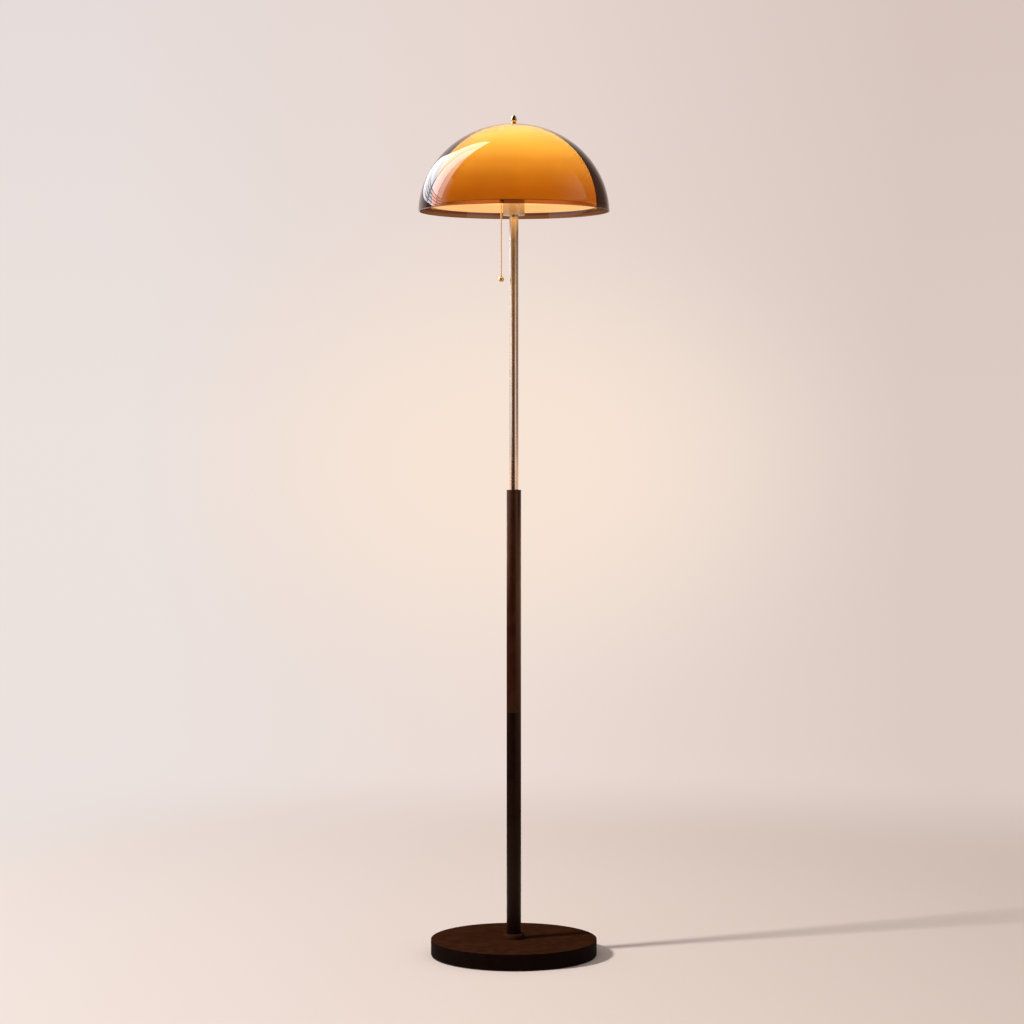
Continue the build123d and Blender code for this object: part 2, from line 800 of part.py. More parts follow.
# ---- finial --------------------------------------------------------------------
finial_ball_centre = finial_top - finial_ball_radius
flange_high = outer_crown + finial_flange_thickness
neck_meet = math.sqrt(finial_ball_radius**2 - finial_neck_radius**2)
with BuildPart() as finial:
    with BuildSketch(Plane.XZ):
        with BuildLine():
            Polyline(
                (0, outer_crown),
                (finial_flange_radius, outer_crown),
                (finial_flange_radius, flange_high - finial_flange_thickness / 2),
            )
            RadiusArc(
                (finial_flange_radius, flange_high - finial_flange_thickness / 2),
                (finial_neck_radius, flange_high + finial_flange_thickness),
                finial_flange_thickness * 2,
            )
            Line(
                (finial_neck_radius, flange_high + finial_flange_thickness),
                (finial_neck_radius, finial_ball_centre - neck_meet),
            )
            ThreePointArc(
                (finial_neck_radius, finial_ball_centre - neck_meet),
                (finial_ball_radius, finial_ball_centre),
                (0, finial_top),
            )
            Line((0, finial_top), (0, outer_crown))
        make_face()
    revolve(axis=Axis.Z)
    with BuildSketch(Plane.XY.offset(outer_crown)):
        Circle(stud_radius + thread_clearance)
    extrude(amount=stud_grip + 1.0, mode=Mode.SUBTRACT)
save(finial, "finial")

# ---- wiring inside the lamp ----------------------------------------------------
lead_end = base_radius + gland_flange_thickness / 2
with BuildPart() as lamp_lead:
    with BuildLine():
        FilletPolyline(
            (0, lead_end, lead_height),
            (0, 0, lead_height),
            (0, 0, case_low - loose_clearance),
            radius=lead_bend,
        )
    with BuildSketch(Plane(origin=(0, lead_end, lead_height), z_dir=(0, -1, 0))):
        Circle(lead_radius)
    sweep()
save(lamp_lead, "lamp_lead")

with BuildPart() as socket_lead:
    with BuildSketch(Plane.XY.offset(case_low + case_height + loose_clearance)):
        Circle(socket_lead_radius)
    extrude(amount=insulator_low - case_low - case_height - 2 * loose_clearance)
save(socket_lead, "socket_lead")
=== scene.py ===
"""Looks of the mushroom floor lamp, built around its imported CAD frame.

Metres, in the frame's axes: +Z up the pole, front towards -Y, pull chain on the -X side.
"""

import json
import math

import bmesh
import bpy
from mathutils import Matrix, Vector


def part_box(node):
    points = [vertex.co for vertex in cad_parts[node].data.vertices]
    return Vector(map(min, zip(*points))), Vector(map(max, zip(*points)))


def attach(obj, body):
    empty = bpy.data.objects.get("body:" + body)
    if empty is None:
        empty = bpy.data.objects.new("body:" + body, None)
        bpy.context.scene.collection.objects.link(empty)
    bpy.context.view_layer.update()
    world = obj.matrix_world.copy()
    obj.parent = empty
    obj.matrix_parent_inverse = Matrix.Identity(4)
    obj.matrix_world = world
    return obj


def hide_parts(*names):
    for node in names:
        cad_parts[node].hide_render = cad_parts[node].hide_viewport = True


MM = 0.001

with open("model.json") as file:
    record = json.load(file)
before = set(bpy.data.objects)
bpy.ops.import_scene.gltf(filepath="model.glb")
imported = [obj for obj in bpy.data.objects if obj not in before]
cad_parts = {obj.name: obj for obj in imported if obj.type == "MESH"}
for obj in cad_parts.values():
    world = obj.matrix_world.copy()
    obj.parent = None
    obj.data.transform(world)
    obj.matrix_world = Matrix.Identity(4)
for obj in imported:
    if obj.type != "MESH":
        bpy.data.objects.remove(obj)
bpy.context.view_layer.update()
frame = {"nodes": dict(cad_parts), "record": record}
nodes = frame["nodes"]
slot_of = {part["node"]: part["material_slot"] for part in frame["record"]["subparts"]}
body_names = frame["record"]["behaviour"]["bodies"]
body_of = {node: body for body, members in body_names.items() for node in members}


# ---------------------------------------------------------------- sizes from the frame

def size_of(node):
    """(radius across X, lowest z, highest z) of a round CAD node."""
    low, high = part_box(node)
    return (high.x - low.x) / 2, low.z, high.z


def middle_of(node):
    low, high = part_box(node)
    return (low + high) / 2


BASE_RADIUS, BASE_UNDER, BASE_TOP = size_of("base_disc")
COLLAR_RADIUS, COLLAR_UNDER, COLLAR_TOP = size_of("pole_collar")
POLE_RADIUS, POLE_UNDER, POLE_SEAM = size_of("lower_pole_bottom")
POLE_TOP = size_of("lower_pole_top")[2]
REDUCER_RADIUS, REDUCER_UNDER, REDUCER_TOP = size_of("pole_reducer")
TUBE_RADIUS, TUBE_UNDER, TUBE_TOP = size_of("upper_pole")
INNER_RADIUS, INNER_RIM, INNER_CROWN = size_of("inner_dome")
OUTER_RADIUS, OUTER_RIM, OUTER_CROWN = size_of("outer_dome")

# Walls and holes, which a node's box doesn't show.
DOME_WALL = 2.5 * MM
DOME_HOLE = 3.2 * MM
INNER_FLAT = 8.0 * MM         # radius of the inner dome's flat crown
OUTER_TUCK = 5.4 * MM         # the outer ellipse's centre lies this far under its rim
BASE_WALL = 3.0 * MM
POLE_WALL = 1.6 * MM
TUBE_WALL = 1.2 * MM

ON_AXIS = 1e-7                # a point nearer the axis than this is on it

CAMERA_PLACE = Vector((-0.0035, -4.9328, 0.9882))
CAMERA_DOWN = 1.791           # degrees under the horizontal
CAMERA_LENS = 92.63           # millimetres, as is the sensor
CAMERA_SENSOR = 36.0

# ---------------------------------------------------------------- colours, linear

BACKDROP_TOP = (0.780, 0.655, 0.610)
HORIZON = (0.835, 0.712, 0.655)
BACKDROP_GLOW = (0.935, 0.780, 0.668)
FLOOR_COLOUR = (0.832, 0.710, 0.657)
FILL_COLOUR = (1.0, 0.965, 0.93)
FILL_LEVEL = 0.38
LEFT_CAST = (1.00, 1.07, 1.12)
NO_CAST = (1.0, 1.0, 1.0)
RIGHT_CAST = (0.86, 0.84, 0.83)
CAST_REACH = 0.15             # sideways part of the direction where the cast is full
GLOW_LEVEL = 0.95
GLOW_WIDTH = 0.17             # half of it, as the sideways part of the direction
GLOW_HEIGHT = 0.12            # half of it, as the upward part
GLOW_DROP = 0.012             # the glow's middle lies this far under the horizon


def smooth(low, high, value):
    """0 at low and before, 1 at high and after, and an S between."""
    share = min(1.0, max(0.0, (value - low) / (high - low)))
    return share * share * (3 - 2 * share)


def blended(a, b, share):
    return tuple(x + (y - x) * share for x, y in zip(a, b))


def dimmed(colour, level):
    return tuple(c * level for c in colour)


# ---------------------------------------------------------------- meshes

def mesh_object(name, verts, faces, sharp):
    """A smooth mesh whose edges sharper than that many degrees stay crisp."""
    mesh = bpy.data.meshes.new(name)
    mesh.from_pydata(verts, [], faces)
    built = bmesh.new()
    built.from_mesh(mesh)
    bmesh.ops.recalc_face_normals(built, faces=built.faces)
    built.to_mesh(mesh)
    built.free()
    mesh.shade_smooth()
    mesh.set_sharp_from_angle(angle=math.radians(sharp))
    obj = bpy.data.objects.new(name, mesh)
    bpy.context.scene.collection.objects.link(obj)
    return obj


def outline(corners, steps=6):
    """The points of an outline whose corners are (radius, z, rounding), with each rounding an arc."""
    points = []
    count = len(corners)
    for i, (r, z, rounding) in enumerate(corners):
        here = Vector((r, z))
        if rounding <= 0:
            points.append(here)
            continue
        before = (Vector(corners[i - 1][:2]) - here).normalized()
        after = (Vector(corners[(i + 1) % count][:2]) - here).normalized()
        half = before.angle(after) / 2
        centre = here + (before + after).normalized() * (rounding / math.sin(half))
        start = here + before * (rounding / math.tan(half)) - centre
        end = here + after * (rounding / math.tan(half)) - centre
        turn = start.angle_signed(end)
        for step in range(steps + 1):
            angle = -turn * step / steps
            c, s = math.cos(angle), math.sin(angle)
            points.append(centre + Vector((start.x * c - start.y * s, start.x * s + start.y * c)))
    return points


def lathe(name, points, segments, centre=(0.0, 0.0), closed=True, sharp=35.0, swing=None):
    """Turns an outline of (radius, z) points about a vertical axis.

    swing(angle, r) may vary a point's radius.
    """
    verts, rings = [], []
    for r, z in points:
        if r < ON_AXIS:
            rings.append([len(verts)] * segments)
            verts.append((centre[0], centre[1], z))
            continue
        rings.append(range(len(verts), len(verts) + segments))
        for k in range(segments):
            angle = 2 * math.pi * k / segments
            radius = r + (swing(angle, r) if swing else 0.0)
            verts.append((centre[0] + radius * math.cos(angle), centre[1] + radius * math.sin(angle), z))
    faces = []
    pairs = list(zip(rings, rings[1:]))
    if closed:
        pairs.append((rings[-1], rings[0]))
    for low, high in pairs:
        for k in range(segments):
            after = (k + 1) % segments
            corners = [low[k], low[after], high[after], high[k]]
            face = [v for i, v in enumerate(corners) if v != corners[i - 1]]
            if len(face) > 2:
                faces.append(face)
    return mesh_object(name, verts, faces, sharp)


def stand_for(piece, node, material):
    """piece takes a CAD node's place and body, with its own material."""
    piece.data.materials.append(material)
    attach(piece, body_of[node])
    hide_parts(node)
    return piece


# ---------------------------------------------------------------- shader nodes

COLOUR_A, COLOUR_B, COLOUR_OUT = 6, 7, 2      # a mix node's sockets for colours


class Graph:
    """Short forms for building a node tree. A value is a number, a colour or another node's output."""

    def __init__(self, owner):
        owner.use_nodes = True
        self.tree = owner.node_tree

    def add(self, kind, **settings):
        node = self.tree.nodes.new(kind)
        for name, value in settings.items():
            setattr(node, name, value)
        return node

    def give(self, socket, value):
        """Sets an input, or links another node's output to it."""
        if isinstance(value, bpy.types.NodeSocket):
            self.tree.links.new(value, socket)
        elif isinstance(value, tuple):
            socket.default_value = (*value, 1.0)
        else:
            socket.default_value = value

    def math(self, operation, a, b):
        node = self.add("ShaderNodeMath", operation=operation)
        self.give(node.inputs[0], a)
        self.give(node.inputs[1], b)
        return node.outputs["Value"]

    def mix(self, factor, a, b, blend="MIX"):
        """Colour a where factor is 0, and b, or the blend of both, where it is 1."""
        node = self.add("ShaderNodeMix", data_type="RGBA", blend_type=blend)
        self.give(node.inputs["Factor"], factor)
        self.give(node.inputs[COLOUR_A], a)
        self.give(node.inputs[COLOUR_B], b)
        return node.outputs[COLOUR_OUT]

    def span(self, source, low, high, start=0.3, end=0.7, curve="SMOOTHSTEP"):
        """source from start to end becomes low to high."""
        node = self.add("ShaderNodeMapRange", interpolation_type=curve)
        self.give(node.inputs["Value"], source)
        for socket, value in (("From Min", start), ("From Max", end), ("To Min", low), ("To Max", high)):
            self.give(node.inputs[socket], value)
        return node.outputs["Result"]

    def ramp(self, source, stops):
        """Colours along source, as (place, colour) pairs with places from 0 to 1."""
        node = self.add("ShaderNodeValToRGB")
        elements = node.color_ramp.elements
        while len(elements) < len(stops):
            elements.new(0.5)
        for element, (at, colour) in zip(elements, stops):
            element.position = at
            element.color = (*colour, 1.0)
        self.give(node.inputs["Fac"], source)
        return node.outputs["Color"]

    def split(self, vector):
        """The vector's outputs X, Y and Z."""
        node = self.add("ShaderNodeSeparateXYZ")
        self.give(node.inputs["Vector"], vector)
        return node.outputs

    def length(self, vector):
        node = self.add("ShaderNodeVectorMath", operation="LENGTH")
        self.give(node.inputs[0], vector)
        return node.outputs["Value"]

    def shading(self, kind, **values):
        """A shader node's output, with its inputs set."""
        node = self.add(kind)
        for socket, value in values.items():
            self.give(node.inputs[socket], value)
        return node.outputs[0]

    def choose(self, factor, first, second):
        """The first shader where factor is 0, and the second where it is 1."""
        node = self.add("ShaderNodeMixShader")
        for socket, value in zip(node.inputs, (factor, first, second)):
            self.give(socket, value)
        return node.outputs["Shader"]

    def end(self, kind, shader):
        """kind is the output node of a material or a world."""
        self.give(self.add(kind).inputs["Surface"], shader)


def empty_graph(owner):
    g = Graph(owner)
    g.tree.nodes.clear()
    return g


class Finish(Graph):
    """A procedural material: one Principled shader, and the nodes that vary it over the surface."""

    def __init__(self, name, colour, roughness, metallic=0.0, specular=0.5, ior=1.5):
        self.material = bpy.data.materials.new(name)
        super().__init__(self.material)
        self.shader = self.tree.nodes["Principled BSDF"]
        self.place = self.add("ShaderNodeTexCoord").outputs["Object"]
        self.put("Base Color", colour)
        self.put("Roughness", roughness)
        self.put("Metallic", metallic)
        self.put("Specular IOR Level", specular)
        self.put("IOR", ior)

    def put(self, socket, value):
        self.give(self.shader.inputs[socket], value)

    def noise(self, size, detail=3.0, stretch=(1, 1, 1)):
        """Noise from about 0.25 to 0.75 whose grains are that many metres across, drawn out by stretch."""
        mapping = self.add("ShaderNodeMapping")
        mapping.inputs["Scale"].default_value = [1 / (size * s) for s in stretch]
        self.give(mapping.inputs["Vector"], self.place)
        texture = self.add("ShaderNodeTexNoise")
        self.give(texture.inputs["Scale"], 1.0)
        self.give(texture.inputs["Detail"], detail)
        self.give(texture.inputs["Roughness"], 0.55)
        self.give(texture.inputs["Vector"], mapping.outputs["Vector"])
        return texture.outputs["Fac"]

    def height(self):
        return self.split(self.place)["Z"]

    def bump(self, pattern, depth, strength):
        """Relief that many metres deep, on top of any that is there already."""
        node = self.add("ShaderNodeBump")
        self.give(node.inputs["Strength"], strength)
        self.give(node.inputs["Distance"], depth)
        self.give(node.inputs["Height"], pattern)
        previous = self.shader.inputs["Normal"].links
        if previous:
            self.give(node.inputs["Normal"], previous[0].from_socket)
        self.put("Normal", node.outputs["Normal"])


# ---------------------------------------------------------------- materials

QUARTER_TURN = 0.25


def powder_coat(name, dark, light, roughness, specular):
    """Textured powder coat: fine orange peel, a faint mottle and a little dust in it."""
    f = Finish(name, dark, roughness, specular=specular)
    mottle = f.noise(20 * MM, detail=4.0)
    speckle = f.noise(1.1 * MM, detail=2.0)
    tone = f.mix(f.span(mottle, 0.0, 1.0), dark, light)
    f.put("Base Color", f.mix(f.span(speckle, 0.0, 0.35, 0.5, 0.75), tone, light))
    f.put("Roughness", f.span(mottle, roughness - 0.06, roughness + 0.06))
    f.put("Specular Tint", (1.0, 0.62, 0.45))
    f.bump(f.noise(1.6 * MM, detail=2.0), 0.06 * MM, 0.4)
    f.bump(f.noise(0.5 * MM, detail=1.0), 0.02 * MM, 0.4)
    return f.material


def satin_metal(name, colour, roughness, brushing):
    """Plated metal with fine brush lines round it, which draw its gloss out along it, and faint smudges."""
    f = Finish(name, colour, roughness, metallic=1.0)
    lines = f.noise(0.35 * MM, detail=2.0, stretch=(60, 60, 1))
    smudge = f.noise(30 * MM)
    f.put("Base Color", f.mix(f.span(smudge, 0.0, 1.0, 0.35, 0.75), colour, dimmed(colour, 0.92)))
    smudged = f.span(smudge, roughness - 0.02, roughness + 0.03)
    f.put("Roughness", f.math("ADD", f.span(lines, -0.012, 0.012), smudged))
    tangent = f.add("ShaderNodeTangent", direction_type="RADIAL", axis="Z")
    f.put("Tangent", tangent.outputs["Tangent"])
    f.put("Anisotropic", brushing)
    f.put("Anisotropic Rotation", QUARTER_TURN)
    return f.material


def grained_nickel(name, dark, light):
    """Nickel of the switch housing: darker and finely blasted, with a speckle that catches the light."""
    f = Finish(name, dark, 0.3, metallic=1.0)
    grain = f.noise(1.1 * MM, detail=2.0)
    cloud = f.noise(12 * MM, detail=2.0)
    tone = f.mix(f.span(grain, 0.0, 1.0, 0.35, 0.65), dark, light)
    f.put("Base Color", f.mix(f.span(cloud, 0.0, 0.35, 0.4, 0.8), tone, dark))
    f.put("Roughness", f.span(grain, 0.24, 0.40))
    f.bump(grain, 0.01 * MM, 0.2)
    return f.material


def bright_brass(name):
    """Polished brass with faint stains and fine wear."""
    f = Finish(name, (0.83, 0.58, 0.24), 0.10, metallic=1.0)
    stain = f.noise(4 * MM, detail=4.0)
    f.put("Base Color", f.mix(f.span(stain, 0.0, 1.0, 0.4, 0.8), (0.86, 0.61, 0.27), (0.66, 0.40, 0.13)))
    f.put("Roughness", f.span(stain, 0.06, 0.16))
    f.bump(f.noise(0.6 * MM, detail=2.0), 0.004 * MM, 0.2)
    return f.material


def zinc_plate(name):
    """Zinc-plated steel with its spangle."""
    f = Finish(name, (0.52, 0.52, 0.50), 0.38, metallic=1.0)
    spangle = f.noise(3 * MM, detail=2.0)
    f.put("Base Color", f.mix(f.span(spangle, 0.0, 1.0), (0.60, 0.60, 0.58), (0.42, 0.42, 0.40)))
    f.put("Roughness", f.span(spangle, 0.28, 0.46))
    f.bump(f.noise(0.4 * MM, detail=2.0), 0.02 * MM, 0.3)
    return f.material


def casting(name):
    """Grey iron with the rough skin of its sand mould."""
    f = Finish(name, (0.05, 0.05, 0.05), 0.7, metallic=0.6)
    skin = f.noise(2 * MM, detail=5.0)
    f.put("Base Color", f.mix(f.span(skin, 0.0, 1.0), (0.07, 0.068, 0.065), (0.028, 0.026, 0.025)))
    f.bump(skin, 0.4 * MM, 0.8)
    return f.material


def pressed_felt(name):
    """Dark wool felt: tangled fibres, lint and a soft edge to the light."""
    f = Finish(name, (0.018, 0.015, 0.013), 0.95, specular=0.1)
    fibres = f.noise(0.7 * MM, detail=5.0, stretch=(1, 5, 1))
    cross = f.noise(0.7 * MM, detail=5.0, stretch=(5, 1, 1))
    wool = f.math("MAXIMUM", fibres, cross)
    lint = f.span(wool, 0.0, 1.0, 0.4, 0.75)
    f.put("Base Color", f.mix(lint, (0.012, 0.010, 0.009), (0.045, 0.039, 0.034)))
    f.bump(wool, 0.3 * MM, 0.9)
    f.put("Sheen Weight", 0.3)
    return f.material


def moulded(name, dark, light, roughness, sheen=0.0):
    """Moulded plastic or rubber: slightly clouded, with a fine grain."""
    f = Finish(name, dark, roughness, specular=0.4)
    cloud = f.noise(10 * MM)
    f.put("Base Color", f.mix(f.span(cloud, 0.0, 1.0), dark, light))
    f.put("Roughness", f.span(cloud, roughness - 0.07, roughness + 0.07))
    f.bump(f.noise(0.9 * MM, detail=2.0), 0.05 * MM, 0.4)
    f.put("Sheen Weight", sheen)
    return f.material


def soft_washer(name):
    """Milky soft plastic."""
    f = Finish(name, (0.62, 0.60, 0.56), 0.35)
    cloud = f.noise(4 * MM)
    f.put("Base Color", f.mix(f.span(cloud, 0.0, 1.0), (0.66, 0.64, 0.60), (0.52, 0.50, 0.46)))
    f.put("Transmission Weight", 0.5)
    f.bump(cloud, 0.05 * MM, 0.4)
    return f.material


def opal_glass(name):
    """The frosted globe of the lit bulb, a little brighter towards its top."""
    f = Finish(name, (0.92, 0.90, 0.86), 0.45)
    frost = f.noise(1.2 * MM)
    f.put("Roughness", f.span(frost, 0.38, 0.55))
    low, high = size_of("bulb_globe")[1:]
    stops = [(0.0, (1.0, 0.66, 0.34)), (0.45, (1.0, 0.80, 0.52)), (1.0, (1.0, 0.86, 0.62))]
    f.put("Emission Color", f.ramp(f.span(f.height(), 0.0, 1.0, low, high), stops))
    f.put("Emission Strength", 1.6)
    f.bump(frost, 0.03 * MM, 0.4)
    return f.material


ACRYLIC_IOR = 1.49
AMBER_WALL = (0.15, 0.056, 0.024)     # what one wall of the outer dome lets through
AMBER_RIM = (0.25, 0.098, 0.038)      # and at its rim, where the sheet was drawn thin
AMBER_HEM = 6.4 * MM                  # height of that rim
AMBER_FADE = 1.2 * MM
CROWN_PAINTED_GLOW = 0.16                     # painted glow: how strongly the sheet over the bulb is made to glow
CROWN_DEPTH = 50 * MM

# The painted glow of the lit shade as it shows through the amber wall, from the opal dome's rim to its crown.
SHADE_SEEN = [
    (0.00, (0.430, 0.093, 0.0010)),
    (0.12, (0.500, 0.112, 0.0020)),
    (0.30, (0.665, 0.182, 0.0070)),
    (0.50, (0.960, 0.335, 0.0250)),
    (0.68, (1.340, 0.610, 0.0680)),
    (0.84, (1.560, 0.830, 0.1350)),
    (1.00, (1.600, 0.830, 0.1890)),
]
SHADE_STRENGTH = 17.0

# The painted light of the opal dome's inside, again from rim to crown. It peaks in a bright painted band a
# little above the rim.
INSIDE_GLOW = [
    (0.00, (0.60, 0.270, 0.080)),
    (0.10, (0.60, 0.270, 0.082)),
    (0.12, (1.25, 0.680, 0.170)),
    (0.14, (1.75, 0.950, 0.200)),
    (0.17, (1.60, 0.900, 0.220)),
    (0.24, (0.94, 0.620, 0.270)),
    (1.00, (1.02, 0.780, 0.430)),
]
INSIDE_STRENGTH = 1.0


def amber_acrylic(name):
    """Clear amber acrylic: nearly even tint, faint haze from dust and wiping marks, and a painted glow in the
    sheet over the bulb.
    """
    f = Finish(name, AMBER_WALL, 0.02, ior=ACRYLIC_IOR)
    f.put("Transmission Weight", 1.0)
    wall = f.mix(f.span(f.noise(90 * MM, detail=2.0), 0.0, 1.0), AMBER_WALL, dimmed(AMBER_WALL, 0.93))
    hem = OUTER_RIM + AMBER_HEM
    f.put("Base Color", f.mix(f.span(f.height(), 0.0, 1.0, hem, hem + AMBER_FADE), AMBER_RIM, wall))
    # Painted glow: the sheet glows warm over the bulb, more so towards its crown.
    f.put("Emission Color", (1.0, 0.66, 0.20))
    f.put("Emission Strength", f.span(f.height(), 0.0, CROWN_PAINTED_GLOW, OUTER_CROWN - CROWN_DEPTH, OUTER_CROWN))
    wiping = f.noise(4 * MM, stretch=(1, 1, 9))
    f.put("Roughness", f.span(wiping, 0.012, 0.035, 0.45, 0.75))
    f.bump(f.noise(60 * MM, detail=1.0), 0.04 * MM, 0.4)
    return f.material


def lit_opal(name, colour, stops, strength):
    """Opal acrylic with the bulb behind it: the bulb's light through it is painted on as a glow from rim to
    crown.
    """
    f = Finish(name, colour, 0.16, ior=ACRYLIC_IOR)
    rise = f.math("DIVIDE", f.math("SUBTRACT", f.height(), INNER_RIM), INNER_CROWN - INNER_RIM)
    cloud = f.noise(50 * MM)
    f.put("Emission Color", f.mix(1.0, f.ramp(rise, stops), f.span(cloud, 0.96, 1.04), "MULTIPLY"))
    f.put("Emission Strength", strength)
    f.put("Roughness", f.span(cloud, 0.12, 0.22))
    return f.material


def behind_amber(colour):
    """The glow, before its strength, that shows as that colour through the amber wall."""
    return tuple(seen / wall / SHADE_STRENGTH for seen, wall in zip(colour, AMBER_WALL))


BASE_DARK, BASE_LIGHT = (0.0310, 0.0098, 0.0040), (0.0440, 0.0150, 0.0070)
# The base's sides: a darker copy of its paint, painted shade on the faces turned away from the light.
SHADED_SIDE_DARK, SHADED_SIDE_LIGHT = (0.0038, 0.0016, 0.0013), (0.0060, 0.0027, 0.0021)
POLE_DARK, POLE_LIGHT = (0.0205, 0.0042, 0.0013), (0.0280, 0.0066, 0.0023)
# The low pole section's paint: far darker than the high section's, partly its own tone and partly painted
# shade.
FOOT_DARK, FOOT_LIGHT = (0.0045, 0.0010, 0.0003), (0.0070, 0.0018, 0.0006)
# Base colours of the opal's outside and inside; the inside's darker, warmer copy is painted shade.
SHADE_OUTSIDE, SHADE_INSIDE = (0.60, 0.56, 0.50), (0.48, 0.38, 0.26)

matte_brown = powder_coat("matte_brown", BASE_DARK, BASE_LIGHT, 0.85, 0.0)
painted_shade_brown = powder_coat("painted_shade_brown", SHADED_SIDE_DARK, SHADED_SIDE_LIGHT, 0.75, 0.05)
satin_brown = powder_coat("satin_brown", POLE_DARK, POLE_LIGHT, 0.34, 0.55)
deep_brown_and_shade = powder_coat("deep_brown_and_shade", FOOT_DARK, FOOT_LIGHT, 0.42, 0.25)
nickel = satin_metal("nickel", (0.74, 0.61, 0.49), 0.20, 0.90)
housing = grained_nickel("housing_nickel", (0.45, 0.35, 0.26), (0.74, 0.60, 0.46))
brass = bright_brass("brass")
amber = amber_acrylic("amber")
shade_seen = [(at, behind_amber(colour)) for at, colour in SHADE_SEEN]
opal_outside = lit_opal("opal_outside", SHADE_OUTSIDE, shade_seen, SHADE_STRENGTH)
opal_inside = lit_opal("opal_inside", SHADE_INSIDE, INSIDE_GLOW, INSIDE_STRENGTH)
frosted = opal_glass("opal_glass")

materials = {
    "brown_paint": satin_brown,
    "satin_nickel": nickel,
    "polished_brass": brass,
    "zinc_steel": zinc_plate("zinc"),
    "phenolic": moulded("phenolic", (0.016, 0.012, 0.010), (0.030, 0.023, 0.019), 0.42),
    "cast_iron": casting("casting"),
    "felt": pressed_felt("felt"),
    "black_rubber": moulded("rubber", (0.010, 0.010, 0.010), (0.022, 0.022, 0.022), 0.7, sheen=0.1),
    "aluminium": satin_metal("aluminium", (0.74, 0.74, 0.75), 0.3, 0.4),
    "opal_glass": frosted,
    "opal_acrylic": opal_outside,
    "amber_acrylic": amber,
    "clear_washer": soft_washer("soft_washer"),
    "lead_sheath": moulded("sheath", (0.030, 0.014, 0.008), (0.050, 0.026, 0.016), 0.55),
}

own_looks = {"switch_cup": housing, "check_ring": housing}

for node, obj in nodes.items():
    for held in obj.material_slots:
        held.material = own_looks.get(node, materials[slot_of[node]])


# ---------------------------------------------------------------- base and pole

def build_base():
    """The base shell: a turned disc with softly broken edges, open underneath inside its skirt, its sides in
    painted shade.
    """
    hole = REDUCER_RADIUS / 2
    edge, lip = 0.9 * MM, 0.4 * MM
    upward = 0.5
    corners = [
        (hole, BASE_TOP, 0),
        (BASE_RADIUS, BASE_TOP, edge),
        (BASE_RADIUS, BASE_UNDER, edge),
        (BASE_RADIUS - BASE_WALL, BASE_UNDER, lip),
        (BASE_RADIUS - BASE_WALL, BASE_TOP - BASE_WALL, 0),
        (hole, BASE_TOP - BASE_WALL, 0),
    ]
    shell = stand_for(lathe("base_shell", outline(corners), 320), "base_disc", matte_brown)
    # Faces turned away from the top take the darker copy of the paint: painted shade.
    shell.data.materials.append(painted_shade_brown)
    for face in shell.data.polygons:
        face.material_index = 0 if face.normal.z >= upward else 1


def build_collar():
    """The ring round the pole's foot, with a rounded shoulder and a softly broken lower edge."""
    corners = [
        (POLE_RADIUS, COLLAR_UNDER, 0),
        (COLLAR_RADIUS - 0.6 * MM, COLLAR_UNDER, 0.3 * MM),
        (COLLAR_RADIUS, COLLAR_UNDER + 1.2 * MM, 0.6 * MM),
        (COLLAR_RADIUS, COLLAR_TOP, 3.6 * MM),
        (POLE_RADIUS, COLLAR_TOP - 0.2 * MM, 0),
    ]
    stand_for(lathe("collar", outline(corners, 10), 160), "pole_collar", matte_brown)


def build_poles():
    """Four tubes with bevelled ends."""
    lower = (POLE_UNDER, POLE_SEAM)
    upper = (POLE_SEAM, POLE_TOP)
    ring = (REDUCER_UNDER, REDUCER_TOP)
    thin = (TUBE_UNDER, TUBE_TOP)
    wide = POLE_RADIUS - POLE_WALL
    narrow = TUBE_RADIUS - TUBE_WALL
    clear = TUBE_RADIUS + 0.05 * MM
    tubes = [
        ("pole_low_section", "lower_pole_bottom", POLE_RADIUS, wide, lower, 0.35 * MM, deep_brown_and_shade),
        ("pole_high_section", "lower_pole_top", POLE_RADIUS, wide, upper, 0.5 * MM, satin_brown),
        ("pole_end_ring", "pole_reducer", REDUCER_RADIUS, clear, ring, 0.5 * MM, satin_brown),
        ("pole_nickel_tube", "upper_pole", TUBE_RADIUS, narrow, thin, 0.2 * MM, nickel),
    ]
    for name, node, radius, bore, (low, high), bevel, material in tubes:
        corners = [(radius, low, bevel), (radius, high, bevel), (bore, high, 0), (bore, low, 0)]
        stand_for(lathe(name, outline(corners, 4), 128), node, material)


build_base()
build_collar()
build_poles()


# ---------------------------------------------------------------- domes

DOME_SHARP = 50.0


def build_outer_dome():
    """The amber shell: one elliptic wall with a polished, rounded rim and a hole in its crown."""
    rise = OUTER_CROWN - OUTER_RIM + OUTER_TUCK
    centre = OUTER_RIM - OUTER_TUCK
    radius = OUTER_RADIUS / math.sqrt(1 - (OUTER_TUCK / rise) ** 2)
    polish = 0.7 * MM
    steps, rim_steps = 120, 6

    def wall(inset):
        a, b = radius - inset, rise - inset
        first = math.asin((OUTER_RIM + polish - centre) / b)
        last = math.acos(DOME_HOLE / a)
        angles = [first + (last - first) * k / steps for k in range(steps + 1)]
        return [(a * math.cos(t), centre + b * math.sin(t)) for t in angles]

    outside, inside = wall(0.0), wall(DOME_WALL)
    left, right = inside[0][0], outside[0][0]
    rim = []
    for corner, first in ((left + polish, 180), (right - polish, 270)):
        for step in range(rim_steps + 1):
            angle = math.radians(first + 90 * step / rim_steps)
            rim.append((corner + polish * math.cos(angle), OUTER_RIM + polish + polish * math.sin(angle)))
    points = inside[:0:-1] + rim + outside[1:]
    stand_for(lathe("amber_dome", points, 384, sharp=DOME_SHARP), "outer_dome", amber)


